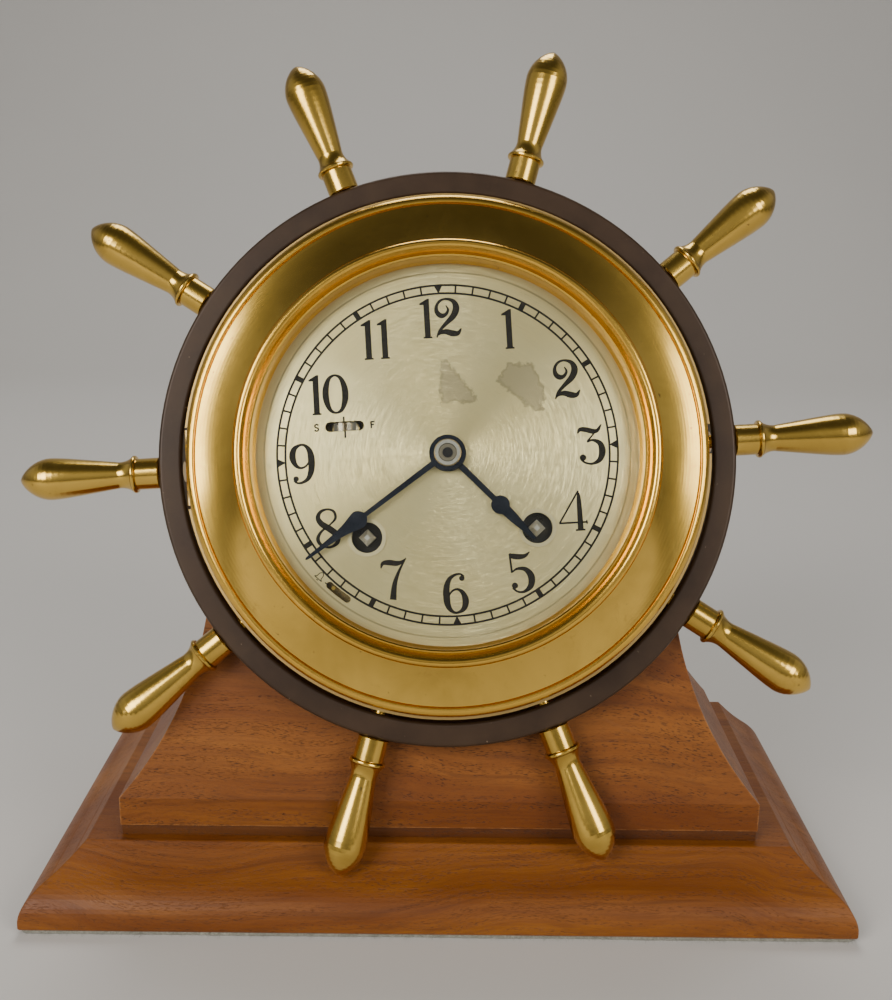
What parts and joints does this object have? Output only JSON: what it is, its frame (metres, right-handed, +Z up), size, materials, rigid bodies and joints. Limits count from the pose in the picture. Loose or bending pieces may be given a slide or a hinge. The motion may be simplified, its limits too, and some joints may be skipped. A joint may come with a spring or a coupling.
{
  "type": "ships deck clock",
  "caption": "Ship's-bell striking clock with a brass bezel, set in a spoked ship's wheel that leans back on a moulded two-tier wooden desk stand.",
  "frame": {"origin": "middle of the felt's underside", "axes": "+Z up, -Y towards the front where the dial faces, +X to the dial's three o'clock side"},
  "size_m": [0.257, 0.121, 0.2539],
  "materials": {
    "felt": "grey-green wool felt, fuzzy",
    "mahogany": "orange-brown mahogany under a satin lacquer",
    "dark_ring": "dark brown patinated bronze finish, satin",
    "polished_brass": "polished and lacquered",
    "case_brass": "satin, slightly toned",
    "plate_brass": "fine brushed",
    "steel": "bright turned",
    "blued_steel": "blue-black",
    "spring_steel": "blued spring temper",
    "silvered": "silvered, circular-brushed, champagne tint",
    "nickel": "nickel, polished",
    "bell_metal": "turned bell bronze",
    "glass": "clear flat glass"
  },
  "bodies": {
    "stand": {"felt_pad": "felt", "base_board": "mahogany", "plinth": "mahogany", "plinth_screws": "steel", "case_screws": "case_brass", "wheel_ring": "dark_ring", "spindle_01": "polished_brass", "spindle_02": "polished_brass", "spindle_03": "polished_brass", "spindle_04": "polished_brass", "spindle_05": "polished_brass", "spindle_06": "polished_brass", "spindle_07": "polished_brass", "spindle_08": "polished_brass", "spindle_09": "polished_brass", "spindle_10": "polished_brass", "case_drum": "case_brass", "back_cover": "case_brass", "back_screws": "polished_brass", "hinge_leaves": "case_brass", "catch_spring": "case_brass", "dial": "silvered", "winding_grommets": "case_brass", "front_plate": "plate_brass", "back_plate": "plate_brass", "pillars": "plate_brass", "movement_screws": "spring_steel", "balance_cock": "plate_brass", "bell": "bell_metal", "bell_post": "case_brass"},
    "bezel_door": {"bezel": "polished_brass", "glass": "glass", "sight_ring": "polished_brass"},
    "regulator": {"regulator_wheel": "nickel"},
    "strike_silent": {"silent_lever": "case_brass"},
    "minute_arbor": {"centre_wheel": "plate_brass", "cannon_pinion": "steel", "minute_hand": "blued_steel", "hand_nut": "nickel"},
    "hour_pipe": {"hour_wheel": "plate_brass", "hour_hand": "blued_steel"},
    "motion_wheel": {"minute_wheel": "plate_brass"},
    "drive_arbor": {"drive_wheel": "plate_brass"},
    "time_drum": {"time_barrel": "plate_brass"},
    "time_winding": {"time_arbor": "steel", "time_mainspring": "spring_steel"},
    "time_click_body": {"time_click": "steel"},
    "third_arbor": {"third_wheel": "plate_brass"},
    "fourth_arbor": {"fourth_wheel": "plate_brass"},
    "escape_arbor": {"escape_wheel": "plate_brass"},
    "fork": {"pallet_fork": "steel"},
    "balance": {"balance_wheel": "plate_brass", "hairspring": "spring_steel"},
    "strike_drum": {"strike_barrel": "plate_brass"},
    "strike_winding": {"strike_arbor": "steel", "strike_mainspring": "spring_steel"},
    "strike_click_body": {"strike_click": "steel"},
    "pin_arbor": {"strike_wheel": "plate_brass"},
    "fly_arbor": {"strike_fly": "plate_brass"},
    "hammer_arbor": {"hammer": "steel"}
  },
  "joints": [
    {"name": "bezel_hinge", "type": "hinge", "parent": "stand", "child": "bezel_door", "pos_m": [-0.07432, -0.02644, 0.13397], "axis": [0.068, -0.3149, -0.9467], "range_deg": [0, 90]},
    {"name": "regulator_turn", "type": "hinge", "parent": "stand", "child": "regulator", "pos_m": [-0.0291, -0.01639, 0.14423], "axis": [-0.068, 0.3149, 0.9467], "continuous": true},
    {"name": "strike_silent_pivot", "type": "hinge", "parent": "stand", "child": "strike_silent", "pos_m": [-0.02555, -0.02513, 0.1021], "axis": [0, -0.9489, 0.3156], "range_deg": [0, 28]},
    {"name": "minute_turn", "type": "hinge", "parent": "stand", "child": "minute_arbor", "pos_m": [0.0013, -0.01409, 0.1353], "axis": [0, -0.9489, 0.3156], "continuous": true},
    {"name": "hour_turn", "type": "hinge", "parent": "stand", "child": "hour_pipe", "pos_m": [0.0013, -0.01409, 0.1353], "axis": [0, -0.9489, 0.3156], "continuous": true},
    {"name": "motion_turn", "type": "hinge", "parent": "stand", "child": "motion_wheel", "pos_m": [0.00228, -0.01863, 0.12167], "axis": [0, -0.9489, 0.3156], "continuous": true},
    {"name": "drive_turn", "type": "hinge", "parent": "stand", "child": "drive_arbor", "pos_m": [0.02186, -0.01274, 0.13935], "axis": [0, -0.9489, 0.3156], "continuous": true},
    {"name": "time_drum_turn", "type": "hinge", "parent": "stand", "child": "time_drum", "pos_m": [0.02776, -0.02088, 0.11489], "axis": [0, -0.9489, 0.3156], "continuous": true},
    {"name": "third_turn", "type": "hinge", "parent": "stand", "child": "third_arbor", "pos_m": [-0.0066, -0.01038, 0.14645], "axis": [0, -0.9489, 0.3156], "continuous": true},
    {"name": "fourth_turn", "type": "hinge", "parent": "stand", "child": "fourth_arbor", "pos_m": [-0.00178, -0.00644, 0.15829], "axis": [0, -0.9489, 0.3156], "continuous": true},
    {"name": "escape_turn", "type": "hinge", "parent": "stand", "child": "escape_arbor", "pos_m": [0.01034, -0.00564, 0.16071], "axis": [0, -0.9489, 0.3156], "continuous": true},
    {"name": "time_winding_turn", "type": "hinge", "parent": "stand", "child": "time_winding", "pos_m": [0.02776, -0.02088, 0.11489], "axis": [0, -0.9489, 0.3156], "continuous": true, "deforming": ["time_mainspring"]},
    {"name": "time_click_pivot", "type": "hinge", "parent": "stand", "child": "time_click_body", "pos_m": [0.03291, -0.01725, 0.12581], "axis": [0, -0.9489, 0.3156], "range_deg": [0, 12]},
    {"name": "fork_pivot", "type": "hinge", "parent": "stand", "child": "fork", "pos_m": [0.0179, -0.00589, 0.15995], "axis": [0, -0.9489, 0.3156], "range_deg": [-4, 4]},
    {"name": "balance_swing", "type": "hinge", "parent": "stand", "child": "balance", "pos_m": [0.02685, -0.00619, 0.15904], "axis": [0, -0.9489, 0.3156], "range_deg": [-135, 135], "stiffness_Nm_per_rad": 0.000013, "deforming": ["hairspring"]},
    {"name": "pin_wheel_turn", "type": "hinge", "parent": "stand", "child": "pin_arbor", "pos_m": [-0.01965, -0.01364, 0.13666], "axis": [0, -0.9489, 0.3156], "continuous": true},
    {"name": "strike_drum_turn", "type": "hinge", "parent": "stand", "child": "strike_drum", "pos_m": [-0.022, -0.02195, 0.11167], "axis": [0, -0.9489, 0.3156], "continuous": true},
    {"name": "fly_turn", "type": "hinge", "parent": "stand", "child": "fly_arbor", "pos_m": [-0.03474, -0.0113, 0.14368], "axis": [0, -0.9489, 0.3156], "continuous": true},
    {"name": "strike_winding_turn", "type": "hinge", "parent": "stand", "child": "strike_winding", "pos_m": [-0.022, -0.02195, 0.11167], "axis": [0, -0.9489, 0.3156], "continuous": true, "deforming": ["strike_mainspring"]},
    {"name": "strike_click_pivot", "type": "hinge", "parent": "stand", "child": "strike_click_body", "pos_m": [-0.02866, -0.01857, 0.12182], "axis": [0, -0.9489, 0.3156], "range_deg": [-12, 0]},
    {"name": "hammer_pivot", "type": "hinge", "parent": "stand", "child": "hammer_arbor", "pos_m": [-0.02203, -0.00659, 0.15784], "axis": [0, -0.9489, 0.3156], "range_deg": [-14, 0]}
  ],
  "couplings": [
    {"joint": "motion_turn", "follows": "minute_turn", "ratio": -0.33333},
    {"joint": "hour_turn", "follows": "minute_turn", "ratio": 0.083333},
    {"joint": "drive_turn", "follows": "minute_turn", "ratio": -0.16667},
    {"joint": "time_drum_turn", "follows": "minute_turn", "ratio": 0.026042},
    {"joint": "third_turn", "follows": "minute_turn", "ratio": -8},
    {"joint": "fourth_turn", "follows": "minute_turn", "ratio": 60},
    {"joint": "escape_turn", "follows": "minute_turn", "ratio": -480},
    {"joint": "strike_drum_turn", "follows": "pin_wheel_turn", "ratio": -0.15625},
    {"joint": "fly_turn", "follows": "pin_wheel_turn", "ratio": -6}
  ]
}
